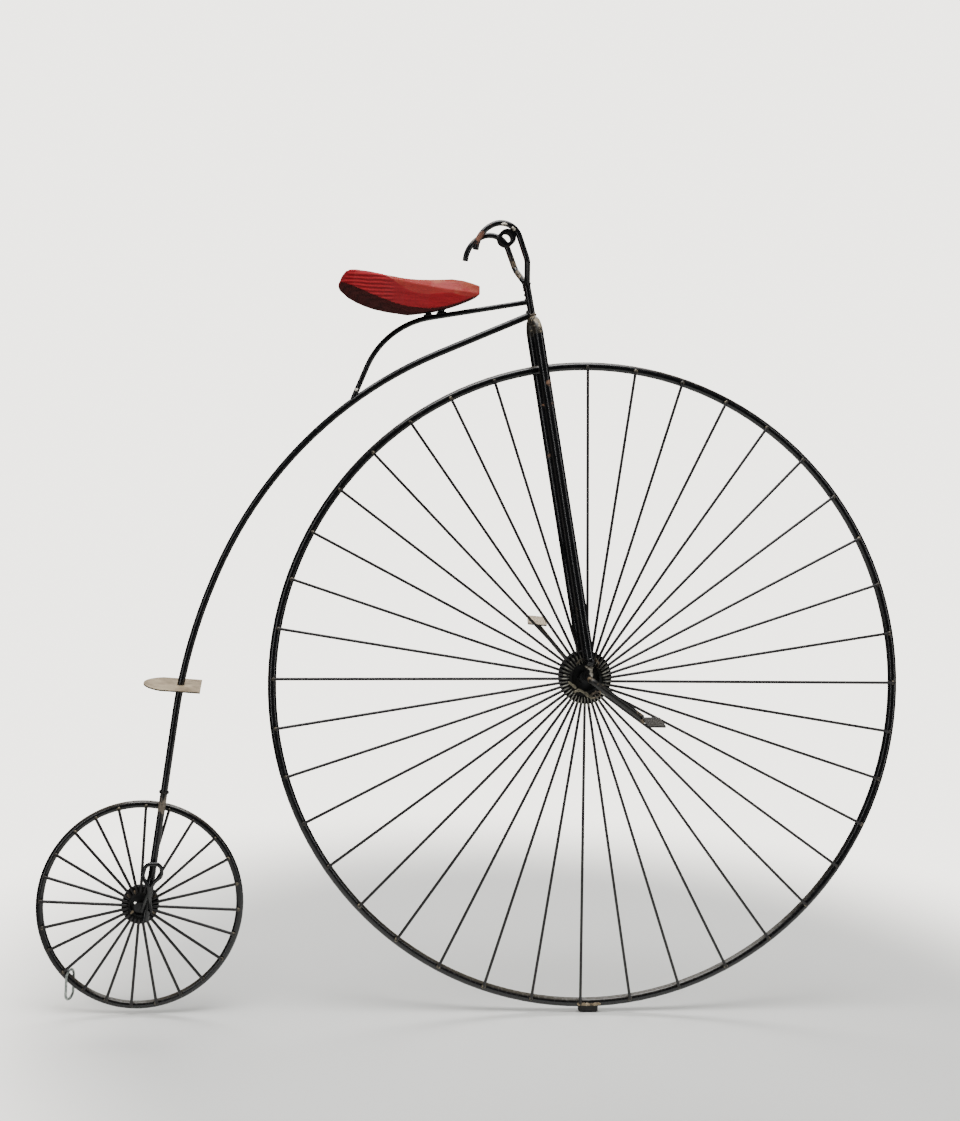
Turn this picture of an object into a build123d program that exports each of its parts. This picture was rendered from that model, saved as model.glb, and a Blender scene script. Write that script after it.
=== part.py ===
from build123d import *
import math
import os

# A penny farthing bicycle as a welded ornament of round steel rod, with a carved wooden saddle.
# Millimetres. +X is forward, -Y is the near side, +Z is up. The origin is on top of the saddle.

# ---- layout ----
front_wheel_diameter = 720.0
rear_wheel_diameter = 223.0
wheelbase = 490.0  # between the middles of the two rims
saddle_over_wheel = 82.5  # saddle top above the top of the front wheel
saddle_setback = 215.0  # saddle middle behind the middle of the front rim
hub_back = 4.6  # the large wheel's hub was welded in off centre: this far behind the rim's middle
hub_up = 4.9  # and this far above it

# ---- rod and fits ----
weld_gap = 0.05  # between two pieces that are welded together
running_gap = 0.05  # radial, between an axle and its bore
spoke_diameter = 3.2

# ---- front wheel ----
front_rim_rod = 9.4
front_hub_diameter = 59.0
front_hub_opening = 32.0
front_hub_web = 3.0
front_boss_diameter = 14.0
spokes_back = 4.6  # the spokes' inner ends were laid round a point this far behind the rim's middle
spokes_up = 2.3  # and this far above it
front_spoke_start = 21.5  # distance of a spoke's inner end from that point
front_spoke_count = 40
front_spoke_first = 0.65  # degrees from straight ahead to the first spoke
front_spoke_lag = 3.4  # degrees that a spoke's inner end lies behind its even place
front_axle_diameter = 5.5
spoke_end = 0.55  # share of the rim's rod between a spoke's end and the outside of the rim
# the spokes were laid by hand: how their ends swing round the rim from their even places,
# in degrees, how many times in a turn of the wheel, and where a swing starts
front_spoke_swings = ((1.0, 1, 37.0), (0.3, 3, 228.0), (0.2, 5, 300.0))

# ---- rear wheel ----
rear_rim_rod = 8.0
rear_hub_diameter = 40.0
rear_hub_opening = 22.0
rear_hub_web = 3.0
rear_boss_diameter = 6.6
rear_hub_hole = 3.6  # small hole beside the boss, right through the web
rear_hole_gap = 0.3  # between that hole and the boss
rear_spoke_start = 14.5
rear_spoke_count = 24
rear_spoke_first = 12.9
rear_spoke_swings = ((1.1, 1, 0.0), (0.5, 4, 162.0), (0.4, 8, 309.0), (0.4, 9, 191.0))
rear_axle_diameter = 5.0
axle_head_width = 0.85  # radius of the six-sided head as a share of the axle's diameter
axle_head_thickness = 2.5

# ---- fork, stem and hangers ----
fork_rod = 11.0
fork_spacing = 34.0  # between the middles of the two legs
fork_rake = 10.45  # degrees that the fork leans back
fork_lead = 4.5  # the line of the legs passes this far in front of the axle
crown_gap = 29.5  # wheel to the ends of the legs, where the crown's bend begins
rivet_height = 21.0  # axle to the rivet of the hanger, along the legs
hanger_thickness = 2.0
hanger_width = 8.0
foot_height = 14.5  # axle to the foot of a leg, along the leg
foot_flat = 2.0  # radius of the flat left on the rounded foot
stem_rod = 8.2
stem_lean = 11.3
stem_length = 43.4

# ---- handlebars ----
handlebar_rod = 6.6
handlebar_spread = 34.0  # middle plane to a bar
bar_overlap = 1.0  # each bar's foot starts this far below the top of the stem
# a bar's corners: forward of the stem's top, sideways as a share of the spread, up from the stem's top
bar_corners = (
    (-6.3, 0.93, 19.4),
    (-25.1, 1.0, 69.1),
    (-62.2, 1.0, 47.9),
    (-64.8, 1.0, 28.5),
)
bar_bends = (10.0, 21.8, 33.0)
ring_angle = 42.0  # where the ring touches the bar, about the middle of the bar's upper bend
ring_diameter = 19.0
ring_bore = 11.0
ring_length = 14.0
ring_inset = 2.0  # ring's near end inside the outer flank of the near bar

# ---- backbone and what it carries ----
backbone_rod = 7.8
backbone_rise = 7.0  # height on the stem where the backbone starts
# to the corners of its two long bends: from the middle of the large wheel to about its rim,
# in shares of its radius, and on from there
upper_way = (-0.78, 0.0, 0.63)
upper_corner = (-70.5, 0.0, 58.3)
lower_way = (-1.0, 0.0, 0.0)
lower_corner = (-90.0, -10.0, 34.9)
backbone_bends = (462.0, 579.0)
stay_sidestep = 7.0  # the stay passes this far in front of the rear axle
stay_tail = 12.0  # and ends this far below it
wheel_side_gap = 2.0  # between a wheel and what stands beside it
stay_clearance = 0.6  # stay to axle link, for the slant of the stay
link_thickness = 3.0
link_width = 10.0
link_length = 19.0
step_height = -11.0  # height of the step plate from the front rim's middle
step_length = 62.0
step_width = 60.0
step_thickness = 1.4
step_rear_reach = 39.0  # from the backbone to the rounded rear end
step_tilt = 4.5  # degrees, near edge low
step_pitch = 3.0  # degrees, front edge low
step_corner_share = 1 / 3  # of the width, where the straight sides pass into the rounded rear end
collar_rise = 124.5  # height of the wrapped wire over the rear axle
collar_wire = 1.5
collar_turns = 2
collar_pitch = 0.8  # share of the wire from one turn to the next, as it was beaten tight

# ---- seat spring, pegs and saddle ----
spring_rod = 6.0
spring_rise = 21.5  # height on the stem where the spring starts
spring_slope = 11.4  # degrees that its upper run falls
spring_run = 167.0
spring_bend = 96.0
spring_foot = (76.0, 0.0, 22.9)  # from the corner of the backbone's upper bend
peg_diameter = 5.0
peg_places = (21.5, 36.7)  # forward of the saddle middle

saddle_rear = 79.0
saddle_nose = 78.5
# the knife left flat cuts: half of its outline along the edge where the upper and lower cuts meet,
# forward of the middle, then out to the near side and out to the far side
saddle_outline = (
    (-saddle_rear, 19.0, 21.0),
    (-75.0, 33.0, 31.0),
    (-66.0, 46.5, 45.0),
    (-50.0, 48.0, 48.0),
    (-31.0, 42.0, 43.0),
    (-8.0, 28.0, 29.5),
    (22.0, 18.5, 19.0),
    (58.0, 15.5, 15.0),
    (saddle_nose, 10.5, 11.0),
)
edge_height = -5.0  # where the cuts meet, under the saddle's middle
edge_slope = 5.0  # degrees that this edge falls towards the nose
upper_cut = (13.5, 7.5)  # height of the cuts above the edge, and how far they draw in over it
lower_cut = (-34.5, 6.5)
saddle_depth = 35.8
saddle_top = 4.0  # height of the raised rear edge over the saddle's middle
rear_slope = (8.0, 3.5)  # length of the slope behind the raised rear edge, and its lower end's depth
rear_depth = 7.5
rear_belly = -26.5  # belly half way to the rear
nose_slope = 32.0
nose_rise = 3.0
nose_top = -3.5
nose_bottom = -12.5
nose_belly = (43.0, -27.8)

# ---- cranks and pedals ----
crank_gap = 4.0  # between a leg and a crank that passes it
crank_start_gap = 0.6  # a crank's bend begins this far outside the leg
crank_bend = 5.2
# side, angle, length, rod
crank_table = (
    ("near", -1, -34.5, 70.0, 7.0),
    ("far", 1, 131.5, 71.0, 4.8),
)
# forward of the crank's end to the plate's middle, length, tilt with the near edge low, turn to the front
pedal_table = (
    (8.5, 20.0, 15.0, 0.0),
    (-1.2, 22.0, 19.0, -10.0),
)
pedal_width = 23.0
pedal_thickness = 1.6
pedal_corner = 1.5

# ---- wire pieces ----
eye_wire = 3.2
eye_rise = 38.5  # height of the wire eye over the rear axle
# forward, towards the near side, up: from one tail round the eye to the other tail
eye_corners = (
    (-4.8, 5.2, -40.0),
    (1.0, 7.1, -11.0),
    (10.5, 8.5, -1.5),
    (9.5, 9.6, 12.0),
    (-8.0, 11.0, 12.0),
    (-9.0, 12.0, -1.5),
    (-1.0, 13.0, -11.0),
    (4.8, 5.4, -40.0),
)
eye_bends = (9.0, 6.0, 7.6, 7.6, 6.0, 9.0)
clip_wire = 2.3
clip_height = 33.0
clip_width = 16.0
clip_yaw = 27.0
clip_angle = 227.8
clip_drop = 5.9  # middle of the clip below the middle of the rim's rod
rim_joint_length = 22.0
rim_joint_depth = 4.8
rim_joint_width = 9.0
rim_joint_corner = 3.0
rim_joint_chamfer = 1.2
rim_joint_angle = -88.8

# ---- worked out ----
front_radius = front_wheel_diameter / 2
rear_radius = rear_wheel_diameter / 2
front_rim_at = Vector(saddle_setback, 0, -(front_radius + saddle_over_wheel))
front_axle_at = front_rim_at + Vector(-hub_back, 0, hub_up)
front_spokes_at = front_rim_at + Vector(-spokes_back, 0, spokes_up)
rear_axle_at = front_rim_at + Vector(-wheelbase, 0, rear_radius - front_radius)


def polar(centre, radius, angle, y=0.0):
    """Point at an angle about a centre, in the plane of the wheels, moved sideways by y."""
    turn = math.radians(angle)
    return centre + Vector(radius * math.cos(turn), y, radius * math.sin(turn))


def rod_along(path, diameter):
    """Sweep a round rod along the open builder's path."""
    with BuildSketch(Plane(origin=path @ 0, z_dir=path % 0)) as section:
        Circle(diameter / 2)
    sweep(sections=section.sketch, path=path)


def bend_centre(before, corner, after, radius):
    """Centre of the bend that rounds off a corner of a rod."""
    back = (before - corner).normalized()
    ahead = (after - corner).normalized()
    half_angle = math.radians(back.get_angle(ahead) / 2)
    return corner + (back + ahead).normalized() * (radius / math.sin(half_angle))


def finish(piece, label):
    piece.part.label = label
    export_step(piece.part, f"parts/{label}.step")


os.makedirs("parts", exist_ok=True)

# ---- fork ----
fork_axis = Vector(-math.sin(math.radians(fork_rake)), 0, math.cos(math.radians(fork_rake)))
fork_base = front_axle_at + Vector(fork_lead, 0, 0)
crown_at = fork_base + fork_axis * (front_radius + crown_gap)
leg_length = front_radius + crown_gap - foot_height
fork_flank = fork_spacing / 2 + fork_rod / 2

for side, label in ((-1, "fork_leg_near"), (1, "fork_leg_far")):
    foot = fork_base + fork_axis * foot_height + Vector(0, side * fork_spacing / 2, 0)
    with BuildPart() as leg:
        with BuildSketch(Plane(origin=foot, z_dir=fork_axis)):
            Circle(fork_rod / 2)
        extrude(amount=leg_length)
        fillet(leg.faces().sort_by(Axis.Z)[0].edges(), fork_rod / 2 - foot_flat)
    finish(leg, label)

# The crown is the bend of the fork over the wheel.
crown_plane = Plane(origin=crown_at, x_dir=(0, 1, 0), z_dir=fork_axis.cross(Vector(0, 1, 0)) * -1)
with BuildPart() as fork_crown:
    with BuildLine(crown_plane) as crown_bend:
        CenterArc((0, 0), fork_spacing / 2, 0, 180)
    rod_along(crown_bend.wires()[0], fork_rod)
finish(fork_crown, "fork_crown")

# ---- steering stem ----
stem_axis = Vector(-math.sin(math.radians(stem_lean)), 0, math.cos(math.radians(stem_lean)))
stem_base = crown_at + fork_axis * (fork_spacing / 2)
stem_top = stem_base + stem_axis * stem_length
with BuildPart() as steering_stem:
    with BuildSketch(Plane(origin=stem_base, z_dir=stem_axis)):
        Circle(stem_rod / 2)
    extrude(amount=stem_length)
    add(fork_crown.part, mode=Mode.SUBTRACT)
finish(steering_stem, "steering_stem")

# ---- hangers: flat links that carry the front axle under the legs ----
hanger_face = fork_spacing / 2 - fork_rod / 2 - weld_gap
hanger_line = fork_base + fork_axis * rivet_height - front_axle_at
hanger_length = hanger_line.length
for side, label in ((-1, "hanger_near"), (1, "hanger_far")):
    outline_plane = Plane(
        origin=front_axle_at + Vector(0, side * hanger_face, 0), x_dir=hanger_line, z_dir=(0, -side, 0)
    )
    with BuildPart() as hanger:
        with BuildSketch(outline_plane):
            SlotCenterPoint((hanger_length / 2, 0), (hanger_length, 0), hanger_width)
        extrude(amount=hanger_thickness)
        with BuildSketch(outline_plane):
            Circle(front_axle_diameter / 2 + running_gap)
        extrude(amount=hanger_thickness, mode=Mode.SUBTRACT)
    finish(hanger, label)

# ---- handlebars ----
bar_side_start = handlebar_rod / 2 + weld_gap * 2
for side, label in ((1, "handlebar_far"), (-1, "handlebar_near")):
    corners = [stem_top - stem_axis * bar_overlap + Vector(0, side * bar_side_start, 0)]
    for forward, share, up in bar_corners:
        corners.append(stem_top + Vector(forward, side * handlebar_spread * share, up))
    with BuildPart() as handlebar:
        with BuildLine() as bar_path:
            FilletPolyline(*corners, radius=list(bar_bends))
        rod_along(bar_path.wires()[0], handlebar_rod)
        add(steering_stem.part, mode=Mode.SUBTRACT)
    finish(handlebar, label)

# The ring nests in the upper bend of the near bar.
ring_reach = bar_bends[1] - handlebar_rod / 2 - ring_diameter / 2 - weld_gap
ring_centre = polar(bend_centre(*corners[1:4], bar_bends[1]), ring_reach, ring_angle)
ring_near_y = -(handlebar_spread + handlebar_rod / 2 - ring_inset)
ring_plane = Plane(origin=(ring_centre.X, ring_near_y, ring_centre.Z), z_dir=(0, 1, 0))
with BuildPart() as handlebar_ring:
    with BuildSketch(ring_plane):
        Circle(ring_diameter / 2)
        Circle(ring_bore / 2, mode=Mode.SUBTRACT)
    extrude(amount=ring_length)
finish(handlebar_ring, "handlebar_ring")

# ---- backbone ----
rear_face = rear_rim_rod / 2 + spoke_diameter + weld_gap  # outermost y of the rear wheel, near side
link_inner = rear_face + wheel_side_gap
stay_y = link_inner + link_thickness + backbone_rod / 2 + stay_clearance
high_corner = front_rim_at + Vector(*upper_way) * front_radius + Vector(*upper_corner)
low_corner = front_rim_at + Vector(*lower_way) * front_radius + Vector(*lower_corner)
stay_end = rear_axle_at + Vector(stay_sidestep, -stay_y, -stay_tail)
backbone_start = stem_base + stem_axis * backbone_rise
with BuildPart() as backbone:
    with BuildLine() as backbone_path:
        FilletPolyline(
            backbone_start, high_corner, low_corner, stay_end,
            radius=list(backbone_bends),
        )
    rod_along(backbone_path.wires()[0], backbone_rod)
    add(steering_stem.part, mode=Mode.SUBTRACT)
    add(fork_crown.part, mode=Mode.SUBTRACT)
finish(backbone, "backbone")

stay_axis = (stay_end - low_corner).normalized()


def on_stay(height):
    """Point on the middle of the straight stay at a height from the saddle's top."""
    drop = (height - low_corner.Z) / stay_axis.Z
    return low_corner + stay_axis * drop


# ---- rear axle: a flat link from the stay, and the axle through it ----
link_plane = Plane(origin=rear_axle_at + Vector(0, -link_inner, 0), x_dir=(1, 0, 0), z_dir=(0, -1, 0))
with BuildPart() as rear_dropout:
    with BuildSketch(link_plane):
        with Locations((stay_sidestep / 2, 0)):
            SlotOverall(link_length, link_width)
        Circle(rear_axle_diameter / 2 + weld_gap, mode=Mode.SUBTRACT)
    extrude(amount=link_thickness)
finish(rear_dropout, "rear_dropout")

axle_end_plane = Plane(origin=rear_axle_at + Vector(0, -(link_inner + link_thickness), 0), z_dir=(0, 1, 0))
rear_axle_length = link_inner + link_thickness + rear_rim_rod / 2 + wheel_side_gap
with BuildPart() as rear_axle:
    with BuildSketch(axle_end_plane):
        Circle(rear_axle_diameter / 2)
    extrude(amount=rear_axle_length)
    with BuildSketch(axle_end_plane.offset(rear_axle_length)):
        RegularPolygon(rear_axle_diameter * axle_head_width, 6)
    extrude(amount=axle_head_thickness)
finish(rear_axle, "rear_axle")

# ---- step plate ----
step_at = on_stay(front_rim_at.Z + step_height)
step_plane = Plane(origin=step_at, x_dir=(1, 0, 0), z_dir=(0, 0, 1)).rotated((step_tilt, step_pitch, 0))
step_front = step_length - step_rear_reach
step_turn = step_width * step_corner_share - step_rear_reach
step_side = step_width / 2
with BuildPart() as step_plate:
    with BuildSketch(step_plane):
        with BuildLine():
            Polyline(
                (step_turn, -step_side), (step_front, -step_side),
                (step_front, step_side), (step_turn, step_side),
            )
            ThreePointArc((step_turn, step_side), (-step_rear_reach, 0), (step_turn, -step_side))
        make_face()
    extrude(amount=step_thickness)
    add(backbone.part, mode=Mode.SUBTRACT)
finish(step_plate, "step_plate")

# ---- wire wrapped round the stay above the small wheel ----
collar_plane = Plane(origin=on_stay(rear_axle_at.Z + collar_rise), z_dir=stay_axis)
with BuildPart() as stay_collar:
    for turn in range(collar_turns):
        with Locations(collar_plane.offset(turn * collar_wire * collar_pitch)):
            Torus(backbone_rod / 2 + collar_wire / 2 + weld_gap, collar_wire / 2)
finish(stay_collar, "stay_collar")

# ---- seat spring ----
spring_start = stem_base + stem_axis * spring_rise
spring_corner = polar(spring_start, spring_run, 180 + spring_slope)
spring_end = high_corner + Vector(*spring_foot)
with BuildPart() as seat_spring:
    with BuildLine() as spring_path:
        FilletPolyline(
            spring_start, spring_corner, spring_end, radius=spring_bend
        )
    rod_along(spring_path.wires()[0], spring_rod)
    add(steering_stem.part, mode=Mode.SUBTRACT)
    add(backbone.part, mode=Mode.SUBTRACT)
finish(seat_spring, "seat_spring")

# ---- saddle ----
# flat cuts all round: they meet at an edge that runs round the sides, lean in above it and below it
edge_plane = Plane(origin=(0, 0, edge_height), z_dir=(0, 0, 1)).rotated((0, edge_slope, 0))


def saddle_section(height, inset):
    """Outline at a height from the edge, drawn in by the cuts."""
    near_side = [(forward, inset - near) for forward, near, far in saddle_outline]
    far_side = [(forward, far - inset) for forward, near, far in reversed(saddle_outline)]
    with BuildSketch(edge_plane.offset(height)) as section:
        with BuildLine():
            Polyline(*near_side, *far_side, close=True)
        make_face()
    return section.sketch


with BuildPart() as saddle:
    for cut in (upper_cut, lower_cut):
        loft(sections=[saddle_section(0, 0), saddle_section(*cut)], ruled=True)
    # side view: a dished top, and a belly that is deepest under the middle
    with BuildSketch(Plane.XZ.offset(-saddle_rear)):
        with BuildLine():
            rear_edge = (-saddle_rear + rear_slope[0], saddle_top)
            Line((-saddle_rear, -rear_slope[1]), rear_edge)
            ThreePointArc(rear_edge, (0, 0), (saddle_nose - nose_slope, nose_rise))
            Polyline(
                (saddle_nose - nose_slope, nose_rise), (saddle_nose, nose_top), (saddle_nose, nose_bottom)
            )
            ThreePointArc((saddle_nose, nose_bottom), nose_belly, (0, -saddle_depth))
            ThreePointArc((0, -saddle_depth), (-saddle_rear / 2, rear_belly), (-saddle_rear, -rear_depth))
            Line((-saddle_rear, -rear_depth), (-saddle_rear, -rear_slope[1]))
        make_face()
    extrude(amount=2 * saddle_rear, mode=Mode.INTERSECT)
finish(saddle, "saddle")

# ---- pegs between the spring and the saddle ----
with BuildPart() as seat_pegs:
    for place in peg_places:
        spring_height = spring_start.Z - (spring_start.X - place) * math.tan(math.radians(spring_slope))
        with BuildSketch(Plane.XY.offset(spring_height)):
            with Locations((place, 0)):
                Circle(peg_diameter / 2)
        extrude(amount=saddle_depth / 2)
    add(saddle.part, mode=Mode.SUBTRACT)
    add(seat_spring.part, mode=Mode.SUBTRACT)
finish(seat_pegs, "seat_pegs")

# ---- front wheel ----
front_face = front_rim_rod / 2


def wheel_rim(centre, radius, rod):
    with BuildPart() as rim:
        with Locations(Plane(origin=centre, z_dir=(0, -1, 0))):
            Torus(radius - rod / 2, rod / 2)
    return rim


def wheel_hub(centre, face, diameter, opening, web, boss, bore, side_hole=0.0, hole_gap=0.0):
    """A shallow drum, open towards the near side, with a boss for the axle on its rear web."""
    back_plane = Plane(origin=centre + Vector(0, face, 0), x_dir=(1, 0, 0), z_dir=(0, -1, 0))
    with BuildPart() as hub:
        with BuildSketch(back_plane):
            Circle(diameter / 2)
            Circle(opening / 2, mode=Mode.SUBTRACT)
        extrude(amount=2 * face)
        with BuildSketch(back_plane):
            Circle(opening / 2)
        extrude(amount=web)
        with BuildSketch(back_plane):
            Circle(boss / 2)
        extrude(amount=2 * face)
        with BuildSketch(back_plane):
            Circle(bore)
            if side_hole:
                with Locations((-(boss + side_hole) / 2 - hole_gap, 0)):
                    Circle(side_hole / 2)
        extrude(amount=2 * face, mode=Mode.SUBTRACT)
    return hub


def wheel_spokes(inner_at, rim_at, face, start, radius, rim_rod, count, first_angle, lag, swings):
    """Straight rods laid by hand on the near face of hub and rim."""
    y = -(face + spoke_diameter / 2 + weld_gap)
    with BuildPart() as spokes:
        for number in range(count):
            angle = first_angle + number * 360 / count
            stray = sum(size * math.sin(math.radians(times * angle + lead)) for size, times, lead in swings)
            inner = polar(inner_at, start, angle - lag, y)
            outer = polar(rim_at, radius - rim_rod * spoke_end, angle + stray, y)
            with BuildSketch(Plane(origin=inner, z_dir=outer - inner)):
                Circle(spoke_diameter / 2)
            extrude(amount=(outer - inner).length)
    return spokes


front_rim = wheel_rim(front_rim_at, front_radius, front_rim_rod)
finish(front_rim, "front_rim")
front_hub = wheel_hub(
    front_axle_at, front_face, front_hub_diameter, front_hub_opening,
    front_hub_web, front_boss_diameter, front_axle_diameter / 2 + weld_gap,
)
finish(front_hub, "front_hub")
front_spokes = wheel_spokes(
    front_spokes_at, front_rim_at, front_face, front_spoke_start, front_radius, front_rim_rod,
    front_spoke_count, front_spoke_first, front_spoke_lag, front_spoke_swings,
)
finish(front_spokes, "front_spokes")

# ---- rear wheel ----
rear_spoke_face = rear_rim_rod / 2
rear_rim = wheel_rim(rear_axle_at, rear_radius, rear_rim_rod)
finish(rear_rim, "rear_rim")
rear_hub = wheel_hub(
    rear_axle_at, rear_spoke_face, rear_hub_diameter, rear_hub_opening,
    rear_hub_web, rear_boss_diameter, rear_axle_diameter / 2 + running_gap, rear_hub_hole, rear_hole_gap,
)
finish(rear_hub, "rear_hub")
rear_spokes = wheel_spokes(
    rear_axle_at, rear_axle_at, rear_spoke_face, rear_spoke_start, rear_radius, rear_rim_rod,
    rear_spoke_count, rear_spoke_first, 0, rear_spoke_swings,
)
finish(rear_spokes, "rear_spokes")

# ---- front axle ----
axle_half = fork_flank + crank_start_gap
with BuildPart() as front_axle:
    with BuildSketch(Plane(origin=front_axle_at + Vector(0, -axle_half, 0), z_dir=(0, 1, 0))):
        Circle(front_axle_diameter / 2)
    extrude(amount=2 * axle_half)
finish(front_axle, "front_axle")

# ---- cranks and pedal plates ----
for (name, side, angle, length, rod), pedal_sizes in zip(crank_table, pedal_table):
    crank_y = side * (fork_flank + crank_gap + rod / 2)
    arm_end = polar(front_axle_at, length, angle, crank_y)
    with BuildPart() as crank:
        with BuildLine() as crank_path:
            FilletPolyline(
                front_axle_at + Vector(0, side * axle_half, 0),
                front_axle_at + Vector(0, crank_y, 0),
                arm_end,
                radius=crank_bend,
            )
        rod_along(crank_path.wires()[0], rod)
    finish(crank, f"crank_{name}")

    pedal_shift, pedal_length, pedal_tilt, pedal_turn = pedal_sizes
    hinge_line = arm_end + Vector(pedal_shift, side * (rod / 2 + weld_gap), 0)
    hinge_plane = Plane(origin=hinge_line, x_dir=(1, 0, 0), z_dir=(0, 0, 1))
    pedal_plane = hinge_plane.rotated((pedal_tilt, 0, pedal_turn))
    with BuildPart() as pedal:
        with BuildSketch(pedal_plane):
            with Locations((0, side * pedal_width / 2)):
                RectangleRounded(pedal_length, pedal_width, pedal_corner)
        extrude(amount=pedal_thickness)
        add(crank.part, mode=Mode.SUBTRACT)
    finish(pedal, f"pedal_{name}")

# ---- lug under the front rim ----
joint_at = polar(front_rim_at, front_radius, rim_joint_angle)
joint_plane = Plane(origin=joint_at, x_dir=(0, 1, 0), z_dir=joint_at - front_rim_at)
with BuildPart() as rim_joint:
    with BuildSketch(joint_plane.offset(-rim_joint_depth)):
        RectangleRounded(rim_joint_width, rim_joint_length, rim_joint_corner)
    extrude(amount=2 * rim_joint_depth)
    chamfer(rim_joint.faces().sort_by(Axis.Z)[0].edges(), rim_joint_chamfer)
    add(front_rim.part, mode=Mode.SUBTRACT)
finish(rim_joint, "rim_joint")

# ---- wire clip hung on the rear rim ----
clip_centre = polar(rear_axle_at, rear_radius - rear_rim_rod / 2, clip_angle) - Vector(0, 0, clip_drop)
yaw = math.radians(clip_yaw)
clip_plane = Plane(
    origin=clip_centre,
    x_dir=(math.sin(yaw), math.cos(yaw), 0),
    z_dir=(math.cos(yaw), -math.sin(yaw), 0),
)
clip_bend = clip_width / 2 - clip_wire / 2
clip_straight = clip_height / 2 - clip_width / 2
with BuildPart() as rim_clip:
    with BuildLine(clip_plane) as clip_path:
        Line((clip_bend, -clip_straight), (clip_bend, clip_straight))
        CenterArc((0, clip_straight), clip_bend, 0, 180)
        Line((-clip_bend, clip_straight), (-clip_bend, -clip_straight))
        CenterArc((0, -clip_straight), clip_bend, 180, 180)
    rod_along(clip_path.wires()[0], clip_wire)
finish(rim_clip, "rim_clip")

# ---- wire eye in front of the stay ----
eye_at = on_stay(rear_axle_at.Z + eye_rise)
with BuildPart() as wire_eye:
    with BuildLine() as eye_path:
        eye_points = [
            eye_at + Vector(forward + stay_axis.X / stay_axis.Z * up, -near, up)
            for forward, near, up in eye_corners
        ]
        FilletPolyline(*eye_points, radius=list(eye_bends))
    rod_along(eye_path.wires()[0], eye_wire)
finish(wire_eye, "wire_eye")
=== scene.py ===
import math
import random

import bmesh
import bpy
from mathutils import Matrix, Vector, noise


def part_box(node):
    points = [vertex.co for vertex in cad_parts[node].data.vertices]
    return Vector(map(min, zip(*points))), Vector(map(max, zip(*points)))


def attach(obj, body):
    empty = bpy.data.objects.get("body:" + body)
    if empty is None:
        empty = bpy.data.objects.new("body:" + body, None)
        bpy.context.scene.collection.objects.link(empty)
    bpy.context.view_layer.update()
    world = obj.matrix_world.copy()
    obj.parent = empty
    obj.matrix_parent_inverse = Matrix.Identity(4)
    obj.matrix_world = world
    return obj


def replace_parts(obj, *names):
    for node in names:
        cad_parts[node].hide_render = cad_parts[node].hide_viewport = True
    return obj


# A penny farthing bicycle welded from round steel rod as an ornament, with a carved wooden saddle.
# Metres. +X is forward, -Y is the near side, +Z is up. The origin is on top of the saddle.

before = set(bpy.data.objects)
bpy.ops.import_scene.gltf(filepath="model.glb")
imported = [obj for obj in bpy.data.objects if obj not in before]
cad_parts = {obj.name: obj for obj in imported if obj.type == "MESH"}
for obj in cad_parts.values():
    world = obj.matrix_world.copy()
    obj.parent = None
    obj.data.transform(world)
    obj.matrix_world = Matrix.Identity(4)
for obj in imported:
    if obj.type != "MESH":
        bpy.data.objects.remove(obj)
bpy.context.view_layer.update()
MM = 0.001


# ---- places and sizes ----


def middle(node):
    low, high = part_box(node)
    return (low + high) / 2


def point(x, y, z):
    """A place given in millimetres."""
    return Vector((x, y, z)) * MM


def slanted(lean):
    """Upward direction that leans back by an angle in degrees."""
    return Vector((-math.sin(math.radians(lean)), 0, math.cos(math.radians(lean))))


front_rim_at = middle("front_rim")
front_axle = middle("front_axle")
rear_axle = middle("rear_rim")
front_low, front_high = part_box("front_rim")
rear_low, rear_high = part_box("rear_rim")
front_radius = (front_high.z - front_low.z) / 2
rear_radius = (rear_high.z - rear_low.z) / 2
front_rim_rod = front_high.y - front_low.y
rear_rim_rod = rear_high.y - rear_low.y

spoke_rod = 3.2 * MM
spoke_end = 0.55  # share of the rim's rod between a spoke's end and the outside of the rim
# how the ends of the hand-laid spokes swing round the rim: in degrees, times in a turn, and start
front_swings = ((1.0, 1, 37.0), (0.3, 3, 228.0), (0.2, 5, 300.0))
rear_swings = ((1.1, 1, 0.0), (0.5, 4, 162.0), (0.4, 8, 309.0), (0.4, 9, 191.0))
# middle of the inner ends, middle of the rim, its radius and rod, spokes, first spoke's angle,
# degrees that the inner ends lie behind, swings
front_spokes_at = front_rim_at + Vector((-4.6, 0, 2.3)) * MM
front_wheel = (front_spokes_at, front_rim_at, front_radius, front_rim_rod, 40, 0.65, 3.4, front_swings)
rear_wheel = (rear_axle, rear_axle, rear_radius, rear_rim_rod, 24, 12.9, 0, rear_swings)

fork_axis = slanted(10.45)
stem_axis = slanted(11.3)
fork_base = front_axle + point(4.5, 0, 0)
fork_spacing = 34 * MM
fork_rod = 11 * MM
crown_gap = 29.5 * MM
rivet_height = 21 * MM
stem_rod = 8.2 * MM
stem_length = 43.4 * MM
seat_rod = 6 * MM
spring_rise = 21.5 * MM
backbone_rise = 7 * MM
backbone_rod = 7.8 * MM

crown = fork_base + fork_axis * (front_radius + crown_gap)
stem_base = crown + fork_axis * (fork_spacing / 2)
stem_top = stem_base + stem_axis * stem_length


# ---- nodes and materials ----


def colour(code):
    """Linear colour of an sRGB hex value."""
    shares = [int(code[place : place + 2], 16) / 255 for place in (1, 3, 5)]
    return [s / 12.92 if s <= 0.04045 else ((s + 0.055) / 1.055) ** 2.4 for s in shares] + [1.0]


def add_node(tree, kind, settings=None, values=None, links=None):
    """Add one node.

    Settings are its properties, values its plain inputs, and links the inputs that other nodes feed.
    """
    node = tree.nodes.new(kind)
    for name, value in (settings or {}).items():
        setattr(node, name, value)
    for name, value in (values or {}).items():
        node.inputs[name].default_value = value
    for name, output in (links or {}).items():
        tree.links.new(output, node.inputs[name])
    return node


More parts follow.
